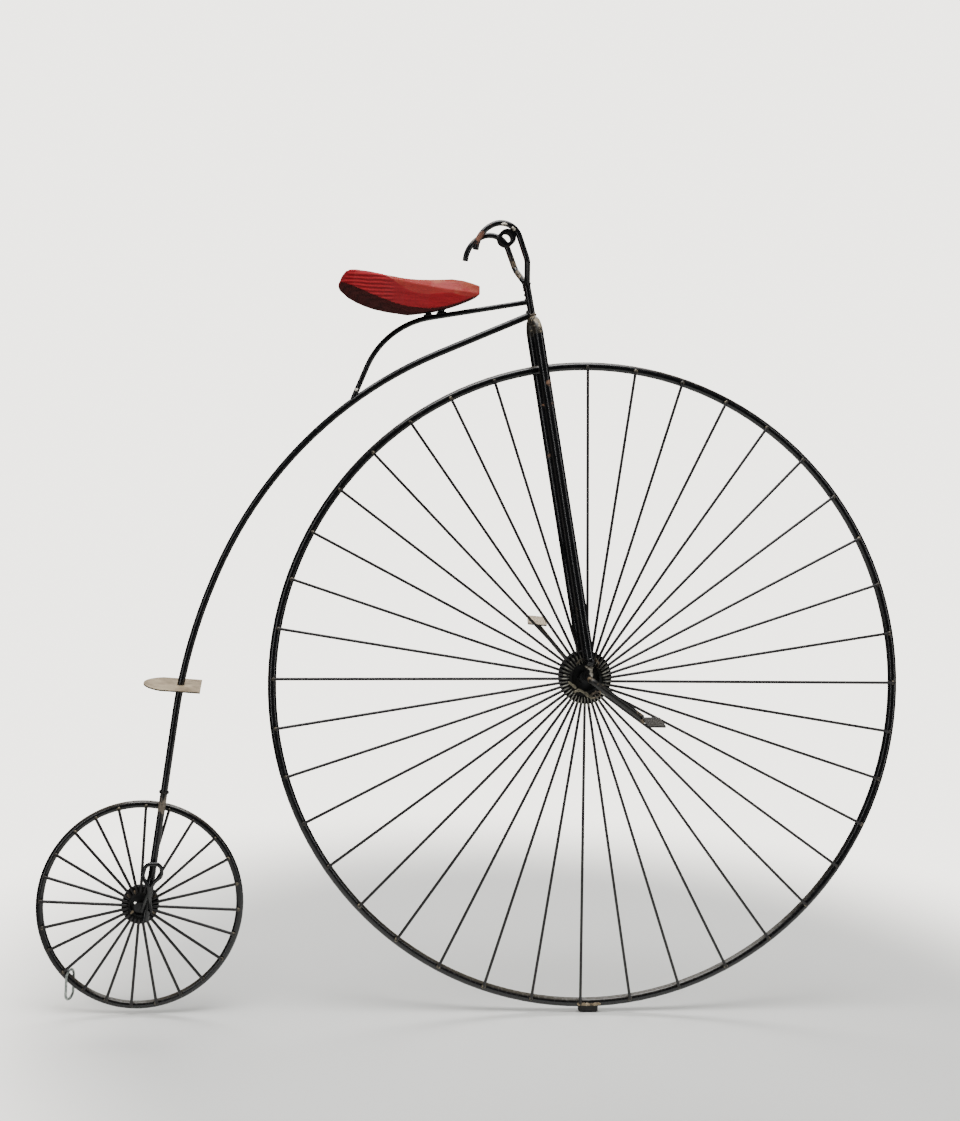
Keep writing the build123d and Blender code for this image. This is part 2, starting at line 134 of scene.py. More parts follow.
def set_ramp(node, stops):
    """Give a colour ramp its stops, each a place from 0 to 1 and a hex colour."""
    ramp = node.color_ramp
    while len(ramp.elements) < len(stops):
        ramp.elements.new(0.5)
    for element, (place, code) in zip(ramp.elements, stops):
        element.position = place
        element.color = colour(code)
    return node


def new_material(name, roughness, metallic=0.0):
    """A material with its surface shader and the coordinates of the object, in metres."""
    made = bpy.data.materials.new(name)
    made.use_nodes = True
    tree = made.node_tree
    surface = tree.nodes["Principled BSDF"]
    surface.inputs["Roughness"].default_value = roughness
    surface.inputs["Metallic"].default_value = metallic
    place = add_node(tree, "ShaderNodeTexCoord").outputs["Object"]
    return made, tree, surface, place


def per_metre(size_mm):
    """Scale of a pattern whose features are this many millimetres apart."""
    return 1 / (size_mm * MM)


MIX_SHARE, MIX_FIRST, MIX_SECOND, MIX_RESULT = 0, 6, 7, 2  # sockets of a colour mix


def enamelled_rod(name, base, worn, wear, spots=(), gloss=0.21, dust_and_top_sheen=None, marks=0.06):
    """Black enamel brushed over mild steel rod: glossy, with brush marks and chips.

    Wear is the share of the paint that is rubbed off anywhere, and each spot is a place and a
    radius, in millimetres, inside which most of it is. Dust and top sheen is the colour laid on
    upward faces: partly dust lying there, partly a painted highlight of the light from above.
    """
    made, tree, surface, place = new_material(name, gloss)
    mottle = add_node(
        tree, "ShaderNodeTexNoise", values={"Scale": per_metre(14), "Detail": 5.0}, links={"Vector": place}
    )
    paint = set_ramp(
        add_node(tree, "ShaderNodeValToRGB", links={"Fac": mottle.outputs["Fac"]}),
        ((0.3, base[0]), (0.7, base[1])),
    )
    chips = add_node(
        tree, "ShaderNodeTexNoise", values={"Scale": per_metre(3.5), "Detail": 6.0}, links={"Vector": place}
    )
    # The paint goes where the fine noise, helped by the nearness of a spot, is over a limit.
    spot_help = 0.34
    limit = 0.74 - 0.25 * wear
    torn_edge = 0.14
    bare = chips.outputs["Fac"]
    for where, radius in spots:
        away = add_node(
            tree,
            "ShaderNodeVectorMath",
            settings={"operation": "DISTANCE"},
            values={1: point(*where)},
            links={0: place},
        )
        near = add_node(
            tree,
            "ShaderNodeMapRange",
            settings={"interpolation_type": "SMOOTHSTEP"},
            values={"From Min": radius * MM, "From Max": 0.0, "To Min": 0.0, "To Max": spot_help},
            links={"Value": away.outputs["Value"]},
        )
        bare = add_node(
            tree,
            "ShaderNodeMath",
            settings={"operation": "ADD"},
            links={0: bare, 1: near.outputs["Result"]},
        ).outputs["Value"]
    rubbed = add_node(
        tree,
        "ShaderNodeMapRange",
        values={"From Min": limit, "From Max": limit + torn_edge},
        links={"Value": bare},
    )
    under = set_ramp(
        add_node(tree, "ShaderNodeValToRGB", links={"Fac": mottle.outputs["Fac"]}),
        ((0.35, worn[0]), (0.65, worn[1])),
    )
    mixed = add_node(
        tree,
        "ShaderNodeMix",
        settings={"data_type": "RGBA"},
        links={
            MIX_SHARE: rubbed.outputs["Result"],
            MIX_FIRST: paint.outputs["Color"],
            MIX_SECOND: under.outputs["Color"],
        },
    )
    skin = mixed.outputs[MIX_RESULT]
    # Upward faces are made lighter: partly dust, partly a painted highlight of the light from above.
    if dust_and_top_sheen:
        facing = add_node(tree, "ShaderNodeTexCoord").outputs["Normal"]
        upright = add_node(tree, "ShaderNodeSeparateXYZ", links={"Vector": facing}).outputs["Z"]
        dust_and_sheen_on_top = add_node(
            tree,
            "ShaderNodeMapRange",
            settings={"interpolation_type": "SMOOTHSTEP"},
            values={"From Min": 0.35, "From Max": 0.95, "To Max": 0.45},
            links={"Value": upright},
        )
        skin = add_node(
            tree,
            "ShaderNodeMix",
            settings={"data_type": "RGBA"},
            values={MIX_SECOND: colour(dust_and_top_sheen)},
            links={MIX_SHARE: dust_and_sheen_on_top.outputs["Result"], MIX_FIRST: skin},
        ).outputs[MIX_RESULT]
    tree.links.new(skin, surface.inputs["Base Color"])
    dullness = add_node(
        tree,
        "ShaderNodeMapRange",
        values={"From Min": 0.3, "From Max": 0.75, "To Min": gloss - 0.06, "To Max": gloss + 0.16},
        links={"Value": bare},
    )
    tree.links.new(dullness.outputs["Result"], surface.inputs["Roughness"])
    brushed = add_node(
        tree, "ShaderNodeTexNoise", values={"Scale": per_metre(1.4), "Detail": 3.0}, links={"Vector": place}
    )
    brush_marks = add_node(
        tree,
        "ShaderNodeBump",
        values={"Strength": marks, "Distance": 0.12 * MM},
        links={"Height": brushed.outputs["Fac"]},
    )
    edges = add_node(
        tree,
        "ShaderNodeBump",
        settings={"invert": True},
        values={"Strength": 0.8, "Distance": 0.1 * MM},
        links={"Height": rubbed.outputs["Result"], "Normal": brush_marks.outputs["Normal"]},
    )
    tree.links.new(edges.outputs["Normal"], surface.inputs["Normal"])
    return made


def brazed_metal(name, stops, roughness):
    """Low-fuming bronze laid with a torch, left rough and half covered by soot and paint."""
    made, tree, surface, place = new_material(name, roughness, metallic=0.35)
    patches = add_node(
        tree, "ShaderNodeTexNoise", values={"Scale": per_metre(6), "Detail": 6.0}, links={"Vector": place}
    )
    tone = set_ramp(add_node(tree, "ShaderNodeValToRGB", links={"Fac": patches.outputs["Fac"]}), stops)
    tree.links.new(tone.outputs["Color"], surface.inputs["Base Color"])
    grains = add_node(
        tree, "ShaderNodeTexNoise", values={"Scale": per_metre(1.0), "Detail": 4.0}, links={"Vector": place}
    )
    bump = add_node(
        tree,
        "ShaderNodeBump",
        values={"Strength": 0.7, "Distance": 0.3 * MM},
        links={"Height": grains.outputs["Fac"]},
    )
    tree.links.new(bump.outputs["Normal"], surface.inputs["Normal"])
    return made


def tarnished_sheet(name, stops, edge, roughness):
    """Mild steel sheet cut with shears: tan and blotched on its faces, dark at its cut edge."""
    made, tree, surface, place = new_material(name, roughness, metallic=0.2)
    blotches = add_node(
        tree,
        "ShaderNodeTexNoise",
        values={"Scale": per_metre(16), "Detail": 7.0, "Roughness": 0.65},
        links={"Vector": place},
    )
    tone = set_ramp(add_node(tree, "ShaderNodeValToRGB", links={"Fac": blotches.outputs["Fac"]}), stops)
    facing = add_node(tree, "ShaderNodeTexCoord").outputs["Normal"]
    upright = add_node(tree, "ShaderNodeSeparateXYZ", links={"Vector": facing}).outputs["Z"]
    flat = add_node(tree, "ShaderNodeMath", settings={"operation": "ABSOLUTE"}, links={0: upright})
    on_face = add_node(
        tree,
        "ShaderNodeMapRange",
        values={"From Min": 0.4, "From Max": 0.7},
        links={"Value": flat.outputs["Value"]},
    )
    mixed = add_node(
        tree,
        "ShaderNodeMix",
        settings={"data_type": "RGBA"},
        values={MIX_FIRST: colour(edge)},
        links={MIX_SHARE: on_face.outputs["Result"], MIX_SECOND: tone.outputs["Color"]},
    )
    tree.links.new(mixed.outputs[MIX_RESULT], surface.inputs["Base Color"])
    dents = add_node(
        tree, "ShaderNodeTexNoise", values={"Scale": per_metre(5), "Detail": 5.0}, links={"Vector": place}
    )
    bump = add_node(
        tree,
        "ShaderNodeBump",
        values={"Strength": 0.6, "Distance": 0.4 * MM},
        links={"Height": dents.outputs["Fac"]},
    )
    tree.links.new(bump.outputs["Normal"], surface.inputs["Normal"])
    return made


def galvanised_wire(name):
    """Hot-dip galvanised steel wire: bright grey zinc, spangled, with dull spots."""
    made, tree, surface, place = new_material(name, 0.35, metallic=0.85)
    spangle = add_node(
        tree, "ShaderNodeTexVoronoi", values={"Scale": per_metre(2.5)}, links={"Vector": place}
    )
    tone = set_ramp(
        add_node(tree, "ShaderNodeValToRGB", links={"Fac": spangle.outputs["Distance"]}),
        ((0.1, "#c9cfca"), (0.6, "#8a918d")),
    )
    tree.links.new(tone.outputs["Color"], surface.inputs["Base Color"])
    return made


# Millimetres: from one growth ring to the next, where the middle of the tree was across and up
# from the saddle's top, and the place forward of its middle behind which the rings stand out.
ring_width = 4.2
pith = (10.0, -300.0)
ridged_until = -24.0


def painted_softwood(name, early, late, bare, wear, roughness=0.5):
    """Carved fir under thin red paint: the soft early wood sank between the rings, and paint is worn off.

    Wear is the share of the paint that is rubbed down to the wood.
    """
    made, tree, surface, place = new_material(name, roughness)
    surface.inputs["Specular IOR Level"].default_value = 0.2
    shifted = add_node(
        tree,
        "ShaderNodeMapping",
        values={"Location": (0.0, -pith[0] * MM, -pith[1] * MM), "Scale": (0.08, 1.0, 1.0)},
        links={"Vector": place},
    )
    wander = add_node(
        tree, "ShaderNodeTexNoise", values={"Scale": per_metre(38), "Detail": 2.0}, links={"Vector": place}
    )
    across = add_node(tree, "ShaderNodeSeparateXYZ", links={"Vector": shifted.outputs["Vector"]})
    flat = add_node(
        tree,
        "ShaderNodeCombineXYZ",
        links={"Y": across.outputs["Y"], "Z": across.outputs["Z"]},
    )
    radius = add_node(
        tree, "ShaderNodeVectorMath", settings={"operation": "LENGTH"}, links={0: flat.outputs["Vector"]}
    )
    bent = add_node(
        tree,
        "ShaderNodeMath",
        settings={"operation": "MULTIPLY_ADD"},
        values={1: 8 * MM},
        links={0: wander.outputs["Fac"], 2: radius.outputs["Value"]},
    )
    turns = add_node(
        tree,
        "ShaderNodeMath",
        settings={"operation": "MULTIPLY"},
        values={1: per_metre(ring_width)},
        links={0: bent.outputs["Value"]},
    )
    ring = add_node(
        tree,
        "ShaderNodeMath",
        settings={"operation": "FRACT"},
        links={0: turns.outputs["Value"]},
    )
    rings = set_ramp(
        add_node(tree, "ShaderNodeValToRGB", links={"Fac": ring.outputs["Value"]}),
        ((0.0, early[1]), (0.3, early[0]), (0.62, early[1]), (0.85, late), (1.0, early[1])),
    )
    along = add_node(tree, "ShaderNodeSeparateXYZ", links={"Vector": place})
    ringed = add_node(
        tree,
        "ShaderNodeMapRange",
        settings={"interpolation_type": "SMOOTHSTEP"},
        values={
            "From Min": (ridged_until + 8) * MM,
            "From Max": (ridged_until - 4) * MM,
            "To Min": 0.12,
            "To Max": 0.8,
        },
        links={"Value": along.outputs["X"]},
    )
    wood = add_node(
        tree,
        "ShaderNodeMix",
        settings={"data_type": "RGBA"},
        values={MIX_FIRST: colour(early[1])},
        links={MIX_SHARE: ringed.outputs["Result"], MIX_SECOND: rings.outputs["Color"]},
    )
    stretched = add_node(
        tree,
        "ShaderNodeMapping",
        values={"Scale": (0.06, 1.0, 1.0)},
        links={"Vector": place},
    )
    fibres = add_node(
        tree,
        "ShaderNodeTexNoise",
        values={"Scale": per_metre(0.9), "Detail": 4.0},
        links={"Vector": stretched.outputs["Vector"]},
    )
    patchy = add_node(
        tree,
        "ShaderNodeTexNoise",
        values={"Scale": per_metre(22), "Detail": 6.0, "Roughness": 0.6},
        links={"Vector": place},
    )
    edge = add_node(
        tree,
        "ShaderNodeMapRange",
        values={"From Min": -3.5 * MM, "From Max": 1 * MM, "To Min": 0.0, "To Max": 0.12},
        links={"Value": along.outputs["Z"]},
    )
    worn = add_node(
        tree,
        "ShaderNodeMath",
        settings={"operation": "ADD"},
        links={0: patchy.outputs["Fac"], 1: edge.outputs["Result"]},
    )
    share = add_node(
        tree,
        "ShaderNodeMapRange",
        values={"From Min": 0.65 - 0.4 * wear, "From Max": 0.95 - 0.4 * wear, "To Max": 0.9},
        links={"Value": worn.outputs["Value"]},
    )
    mixed = add_node(
        tree,
        "ShaderNodeMix",
        settings={"data_type": "RGBA"},
        values={MIX_SECOND: colour(bare)},
        links={MIX_SHARE: share.outputs["Result"], MIX_FIRST: wood.outputs[MIX_RESULT]},
    )
    grained = add_node(
        tree,
        "ShaderNodeMix",
        settings={"data_type": "RGBA", "blend_type": "OVERLAY"},
        values={MIX_SHARE: 0.35},
        links={MIX_FIRST: mixed.outputs[MIX_RESULT], MIX_SECOND: fibres.outputs["Color"]},
    )
    tree.links.new(grained.outputs[MIX_RESULT], surface.inputs["Base Color"])
    ridges = add_node(
        tree,
        "ShaderNodeBump",
        values={"Strength": 0.4, "Distance": 0.15 * MM},
        links={"Height": ring.outputs["Value"]},
    )
    nap = add_node(
        tree,
        "ShaderNodeBump",
        values={"Strength": 0.5, "Distance": 0.2 * MM},
        links={"Height": fibres.outputs["Fac"], "Normal": ridges.outputs["Normal"]},
    )
    tree.links.new(nap.outputs["Normal"], surface.inputs["Normal"])
    return made


BLACK = ("#040507", "#0a0b0e")
RUST = ("#2a1d15", "#57412f")
TAN = ("#3f372b", "#7d6c55")

black_rod = enamelled_rod("black_enamel_on_steel_rod", BLACK, RUST, 0.05)
# The rims' upward faces are painted lighter: dust, and a painted highlight of the overhead light.
rim_paint = enamelled_rod("dusty_black_enamel_on_rims_with_painted_top_sheen", BLACK, RUST, 0.05, dust_and_top_sheen="#6f675b")
spoke_paint = enamelled_rod(
    "thin_black_enamel_on_spokes", ("#0a0708", "#120d0e"), RUST, 0.0, gloss=0.4, marks=0.0
)
fork_paint = enamelled_rod(
    "black_enamel_on_fork",
    BLACK,
    ("#4a3426", "#8a6850"),
    0.05,
    spots=(
        ((156.5, -22, -108.9), 7),
        ((159, -21, -132.3), 7),
        ((159, 11.5, -131), 6),
        ((166.8, 11.5, -190.6), 7),
    ),
)
crown_paint = enamelled_rod(
    "black_enamel_over_brazed_crown",
    ("#14120f", "#2a261f"),
    ("#5c5343", "#a0937a"),
    0.35,
    spots=(((139, -6, -28), 24), ((146, -16, -45), 14), ((140, 6, -30), 16)),
    gloss=0.34,
)
# The spots on the bend are rubbed paint. The spot at the bar's foot, by the stem, paints its highlight as
# rubbed metal.
bar_paint = enamelled_rod(
    "black_enamel_rubbed_to_copper_with_painted_highlight",
    BLACK,
    ("#3a2119", "#7d5240"),
    0.1,
    spots=(((72, -36, 47), 17), ((84, -34, 63), 10), ((122, -30, 40), 6), ((129, -5, 15), 14)),
)
far_bar_paint = enamelled_rod(
    "black_enamel_rubbed_to_tan",
    BLACK,
    TAN,
    0.1,
    spots=(((127, 20, 16), 26), ((121, 33, 34), 12), ((76, 34, 57), 8)),
)
# The two spots by the axle paint the light on top of the crank's bend as rubbed tan metal, which is a
# painted highlight. The spot by the pedal is wear.
crank_paint = enamelled_rod(
    "black_enamel_worn_with_painted_highlight_on_near_crank",
    ("#050403", "#0b0a08"),
    TAN,
    0.12,
    spots=(((207, -27, -435), 15), ((222, -30, -441), 9), ((262, -30, -474), 10)),
    gloss=0.36,
)
far_crank_paint = enamelled_rod(
    "thin_enamel_over_tan_far_crank", ("#17130d", "#3b3122"), ("#6b5c40", "#a08f6c"), 0.7, gloss=0.36
)
link_paint = enamelled_rod("black_enamel_on_links", BLACK, TAN, 0.05, gloss=0.45)
hub_paint = enamelled_rod("black_enamel_on_hub", ("#040506", "#0b0d0e"), TAN, 0.05, gloss=0.5)
stay_paint = enamelled_rod(
    "black_enamel_worn_on_backbone",
    BLACK,
    ("#4b443b", "#85796a"),
    0.05,
    spots=(((-252, -12, -576), 20), ((-255, -12, -586), 17), ((-57, 0, -125), 7), ((112, -2, -24), 24)),
)
braze = brazed_metal("bronze_braze", ((0.3, "#4a4032"), (0.5, "#8a7a62"), (0.72, "#b9aa90")), 0.45)
lip_metal = brazed_metal(
    "rubbed_braze_on_hub", ((0.3, "#2f2c25"), (0.5, "#6b6656"), (0.72, "#9c9680")), 0.45
)
bright_metal = brazed_metal(
    "bright_drops_of_weld", ((0.3, "#6a655a"), (0.5, "#aaa496"), (0.72, "#dcd7ca")), 0.4
)
rim_metal = brazed_metal(
    "rubbed_welds_on_rims", ((0.35, "#12100e"), (0.5, "#453f35"), (0.68, "#8f846e")), 0.5
)
dull_braze = brazed_metal(
    "sooted_bronze_braze", ((0.3, "#1c1812"), (0.5, "#50463a"), (0.75, "#8f8068")), 0.5
)
ridge_metal = brazed_metal(
    "rubbed_ridges_of_weld", ((0.32, "#1f1f1c"), (0.5, "#6d6c62"), (0.7, "#a5a498")), 0.5
)
sooty_weld = brazed_metal(
    "sooty_weld", ((0.35, "#08080a"), (0.6, "#141210"), (0.85, "#332c24")), 0.5
)
sheet = tarnished_sheet(
    "tarnished_sheet_steel", ((0.3, "#6b5c47"), (0.5, "#9c8a70"), (0.7, "#b9a88a")), "#2c261e", 0.5
)
# A darker copy of the tan sheet for the near pedal: painted shade, set against the lit far pedal.
sheet_in_painted_shade = tarnished_sheet(
    "sheet_steel_darkened_as_painted_shade", ((0.3, "#1b1916"), (0.55, "#312d27"), (0.75, "#4b463d")), "#100e0c", 0.6
)
zinc = galvanised_wire("galvanised_wire")
red_wood = painted_softwood(
    "carved_fir_in_red_paint", ("#c2343a", "#a42229"), "#7c1a22", "#b4644c", 0.0
)
worn_wood = painted_softwood(
    "rubbed_red_paint_on_fir", ("#a63a34", "#962e2a"), "#80241f", "#ac5f43", 0.36
)
# The underside and the strip under the side's lower edge are painted darker: painted shade.
underside_wood_in_painted_shade = painted_softwood(
    "underside_red_paint_darkened_as_painted_shade", ("#53201f", "#491a1a"), "#32100f", "#5c2a26", 0.0, 0.8
)

finishes = {
    black_rod: ("steering_stem", "seat_spring", "seat_pegs", "handlebar_ring", "wire_eye", "rear_axle"),
    rim_paint: ("front_rim", "rear_rim"),
    spoke_paint: ("front_spokes", "rear_spokes"),
    fork_paint: ("fork_leg_near", "fork_leg_far"),
    crown_paint: ("fork_crown",),
    bar_paint: ("handlebar_near",),
    far_bar_paint: ("handlebar_far",),
    crank_paint: ("crank_near",),
    far_crank_paint: ("crank_far",),
    link_paint: ("front_axle", "hanger_near", "hanger_far", "rear_dropout"),
    hub_paint: ("front_hub", "rear_hub"),
    stay_paint: ("backbone",),
    sooty_weld: ("stay_collar", "rim_joint"),
    sheet: ("step_plate", "pedal_far"),
    sheet_in_painted_shade: ("pedal_near",),
    zinc: ("rim_clip",),
}
for finish, nodes in finishes.items():
    for node in nodes:
        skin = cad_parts[node].data.materials
        skin.clear()
        skin.append(finish)


# ---- pieces ----


def new_piece(name, mesh, body, material):
    """Make a smooth-shaded piece of a finished mesh, and let it ride on a body."""
    data = bpy.data.meshes.new(name)
    mesh.to_mesh(data)
    mesh.free()
    data.shade_smooth()
    data.materials.append(material)
    piece = bpy.data.objects.new(name, data)
    bpy.context.scene.collection.objects.link(piece)
    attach(piece, body)
    return piece


lump_spacing = 2.5 * MM


def lay_bead(mesh, centre, along, up, length, width, height, roughness=0.25, fineness=3):
    """Lay one lump of weld metal. Roughness is how far its skin strays, as a share of its height."""
    along = along.normalized()
    side = up.cross(along).normalized()
    shape = Matrix((along * length / 2, side * width / 2, along.cross(side) * height / 2)).transposed()
    made = bmesh.ops.create_icosphere(
        mesh, subdivisions=fineness, radius=1.0, matrix=Matrix.Translation(centre) @ shape.to_4x4()
    )
    for vertex in made["verts"]:
        stray = noise.noise(vertex.co / lump_spacing) * roughness * height
        vertex.co += (vertex.co - centre).normalized() * stray


def lay_ring(mesh, centre, axis, radius, bead, count, roughness=0.25):
    """Lay overlapping beads round a joint, as a torch leaves them."""
    start = axis.orthogonal().normalized()
    for number in range(count):
        out = Matrix.Rotation(2 * math.pi * number / count, 3, axis) @ start
        lay_bead(mesh, centre + out * radius, axis.cross(out), out, bead * 1.7, bead, bead, roughness)


def wheel_direction(angle):
    return Vector((math.cos(math.radians(angle)), 0, math.sin(math.radians(angle))))


near = Vector((0, -1, 0))


def spoke_angles(wheel):
    """Angles of each spoke's inner and outer end."""
    count, first, lag, swings = wheel[4:]
    for number in range(count):
        angle = first + number * 360 / count
        stray = sum(size * math.sin(math.radians(times * angle + lead)) for size, times, lead in swings)
        yield angle - lag, angle + stray


def spoke_welds(body, wheel, hub_reach, hub_bead, hub_metal, rim_bead, seed):
    """Beads at both ends of the spokes, each a length, a width and a height."""
    random.seed(seed)
    hub_at, rim_at, rim_radius, rim_rod = wheel[:4]
    outward = near * (rim_rod / 2 + spoke_rod * 0.45)
    at_hub, at_rim = bmesh.new(), bmesh.new()
    for hub_angle, rim_angle in spoke_angles(wheel):
        inner = hub_at + wheel_direction(hub_angle) * hub_reach
        outer = rim_at + wheel_direction(rim_angle) * (rim_radius - rim_rod * spoke_end)
        along = (outer - inner).normalized()
        for mesh, place, bead in ((at_hub, inner, hub_bead), (at_rim, outer - along * 1.2 * MM, rim_bead)):
            length, width, height = (size * random.uniform(0.85, 1.15) for size in bead)
            lay_bead(mesh, place + outward, along, near, length, width, height, 0.15, fineness=2)
    new_piece(f"{body}_hub_welds", at_hub, body, hub_metal)
    new_piece(f"{body}_rim_welds", at_rim, body, rim_metal)


spoke_welds(
    "front_wheel",
    front_wheel,
    hub_reach=25.0 * MM,
    hub_bead=(13 * MM, 1.7 * MM, 4.9 * MM),
    hub_metal=ridge_metal,
    rim_bead=(5 * MM, 4.4 * MM, 3.6 * MM),
    seed=3,
)
spoke_welds(
    "rear_wheel",
    rear_wheel,
    hub_reach=15.5 * MM,
    hub_bead=(7 * MM, 3.0 * MM, 3.4 * MM),
    hub_metal=sooty_weld,
    rim_bead=(4.5 * MM, 4.2 * MM, 3.6 * MM),
    seed=5,
)


def lay_track(mesh, places, y, width, height, roughness=0.35):
    """Lay beads end to end along a track of x and z places, in millimetres, at one distance y."""
    track = [point(x, y, z) for x, z in places]
    for start, end in zip(track, track[1:]):
        steps = max(1, round((end - start).length / (width * 0.7)))
        for step in range(steps):
            place = start.lerp(end, (step + 0.5) / steps)
            size = random.uniform(0.85, 1.2)
            across = width * size
            lay_bead(mesh, place, end - start, near, across * 1.7, across, height * size, roughness)


# Bronze left in drips along the inner lip of the large hub, and on some spoke ends of the small one.
random.seed(11)
lip_face = -7.2  # millimetres across: the drips pass clear under the near hanger as the wheel turns
mesh = bmesh.new()
lay_track(mesh, ((190.3, -442.8), (194.5, -445.6), (198.3, -449.0)), lip_face, 3.0 * MM, 2.6 * MM, 0.25)
lay_track(
    mesh,
    ((197.6, -453.2), (202.9, -451.5), (208.2, -453.9), (213.5, -457.7), (216.9, -460.2)),
    lip_face,
    3.4 * MM,
    2.6 * MM,
    0.25,
)
new_piece("hub_lip_braze", mesh, "front_wheel", lip_metal)
mesh = bmesh.new()
lay_track(
    mesh,
    ((216.5, -456.6), (220.8, -454.0), (226.4, -452.6), (230.5, -449.8)),
    lip_face,
    2.4 * MM,
    2.4 * MM,
)
lay_track(mesh, ((219.0, -460.0), (224.5, -458.3), (227.0, -455.5)), lip_face, 2.2 * MM, 2.2 * MM)
lay_track(mesh, ((199.5, -421.5), (203.0, -418.0), (205.0, -417.0)), lip_face, 2.4 * MM, 2.2 * MM)
lay_track(mesh, ((221.5, -417.0), (223.5, -421.0), (223.0, -425.0)), lip_face, 2.4 * MM, 2.2 * MM)
new_piece("hub_lip_dull_braze", mesh, "front_wheel", dull_braze)

mesh = bmesh.new()
for x, z in ((-280.6, -676.3), (-287.4, -680.6), (-259.6, -680.5), (-283.1, -697.7), (-260.1, -697.6)):
    place = Vector((x * MM, -(rear_rim_rod / 2 + spoke_rod), z * MM))
    out = place - rear_axle
    lay_bead(mesh, place, Vector((out.x, 0, out.z)), near, 5 * MM, 2.4 * MM, 2.0 * MM)
new_piece("small_hub_braze", mesh, "rear_wheel", dull_braze)

# Braze on the crown, and sooty weld where stem, bars, spring and backbone meet.
mesh = bmesh.new()
stem_foot = stem_base + stem_axis * (fork_rod / 2 + 0.5 * MM)
lay_ring(mesh, stem_foot, stem_axis, stem_rod / 2, 2.6 * MM, 11, 0.12)
new_piece("crown_braze", mesh, "frame", dull_braze)

mesh = bmesh.new()
lay_ring(mesh, stem_top - stem_axis * 1.5 * MM, stem_axis, stem_rod * 0.42, 3.0 * MM, 9, 0.3)
lay_ring(mesh, stem_top + stem_axis * 1.5 * MM, stem_axis, stem_rod * 0.36, 2.6 * MM, 8, 0.4)
stem_flank = Vector((stem_rod * 0.45, stem_rod * 0.1, 0))
for below_top, length in ((5, 6.5), (9, 4.0), (14.5, 3.6)):
    place = stem_top - stem_axis * below_top * MM - stem_flank
    lay_bead(mesh, place, stem_axis, near, length * MM, 3.2 * MM, 2.8 * MM, 0.3)
spring_joint = stem_base + stem_axis * spring_rise - Vector((stem_rod / 2, 0, 0))
lay_ring(mesh, spring_joint, Vector((1, 0, 0.2)), seat_rod * 0.46, 2.2 * MM, 10, 0.15)
backbone_joint = stem_base + stem_axis * backbone_rise - Vector((stem_rod / 2, 0, 0))
lay_ring(mesh, backbone_joint, Vector((1, 0, 0.45)), backbone_rod * 0.44, 2.4 * MM, 12, 0.15)
new_piece("stem_welds", mesh, "frame", sooty_weld)

# Bright drops of weld: at the foot of the seat spring, on the near bar beside the ring, and beside the
# near foot of the fork.
mesh = bmesh.new()
lay_bead(mesh, point(-57, -3.4, -124), point(1, 0, 0.6), near, 5 * MM, 3.0 * MM, 2.2 * MM)
lay_bead(mesh, point(98.5, -36.6, 62.3), point(1, 0, 0), near, 7 * MM, 3.2 * MM, 3 * MM)
lay_bead(mesh, point(109.0, -36.2, 57.5), point(1, 0, -1), near, 5.6 * MM, 3.4 * MM, 3 * MM)
bracket_track = ((208.8, -424.4), (213.6, -425.6), (213.4, -431.9), (214.6, -435.0))
lay_track(mesh, bracket_track, -15.5, 3.0 * MM, 3.6 * MM, 0.5)
new_piece("bright_welds", mesh, "frame", bright_metal)

# Weld between the near crank and its pedal, and round both ends of the pegs under the saddle.
mesh = bmesh.new()
lay_bead(mesh, point(267.5, -36.5, -479.5), point(1, -0.8, 0.3), near, 8 * MM, 5.0 * MM, 4 * MM)
new_piece("pedal_weld", mesh, "front_wheel", dull_braze)
mesh = bmesh.new()
for x, foot, head in ((21.5, -36.8, -33.9), (36.7, -33.9, -30.4)):
    lay_bead(mesh, point(x, 0, foot), point(1, 0, 0.16), near, 11.5 * MM, 4.6 * MM, 6.5 * MM, 0.2)
    lay_bead(mesh, point(x, 0, head), point(1, 0, 0.16), near, 8.5 * MM, 3.2 * MM, 6.0 * MM, 0.2)
new_piece("peg_welds", mesh, "frame", sooty_weld)

# Welds above and below the lug that closes the large rim.
mesh = bmesh.new()
lug = middle("rim_joint")
for number in range(9):
    slide = (number - 4) * 2.8 * MM
    for side in (-1, 1):
        place = lug + Vector((slide, side * 4.4 * MM, 4.4 * MM + abs(slide) * 0.05))
        lay_bead(mesh, place, Vector((1, 0, 0)), Vector((0, side, 0.3)), 4.2 * MM, 3.4 * MM, 3.0 * MM)
new_piece("rim_lug_braze", mesh, "front_wheel", braze)


def thicken_wire(node, name, body, material, by):
    """The same wire with its coat of paint or zinc and its scale: thicker all round."""
    mesh = bmesh.new()
    mesh.from_mesh(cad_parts[node].data)
    bmesh.ops.remove_doubles(mesh, verts=mesh.verts, dist=0.01 * MM)
    mesh.normal_update()
    for vertex in mesh.verts:
        vertex.co += vertex.normal * by
    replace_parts(new_piece(name, mesh, body, material), node)


paint_coat = 0.5 * MM
zinc_coat = 0.3 * MM
thicken_wire("wire_eye", "painted_wire_eye", "frame", black_rod, paint_coat)
thicken_wire("rim_clip", "coated_rim_clip", "rear_wheel", zinc, zinc_coat)


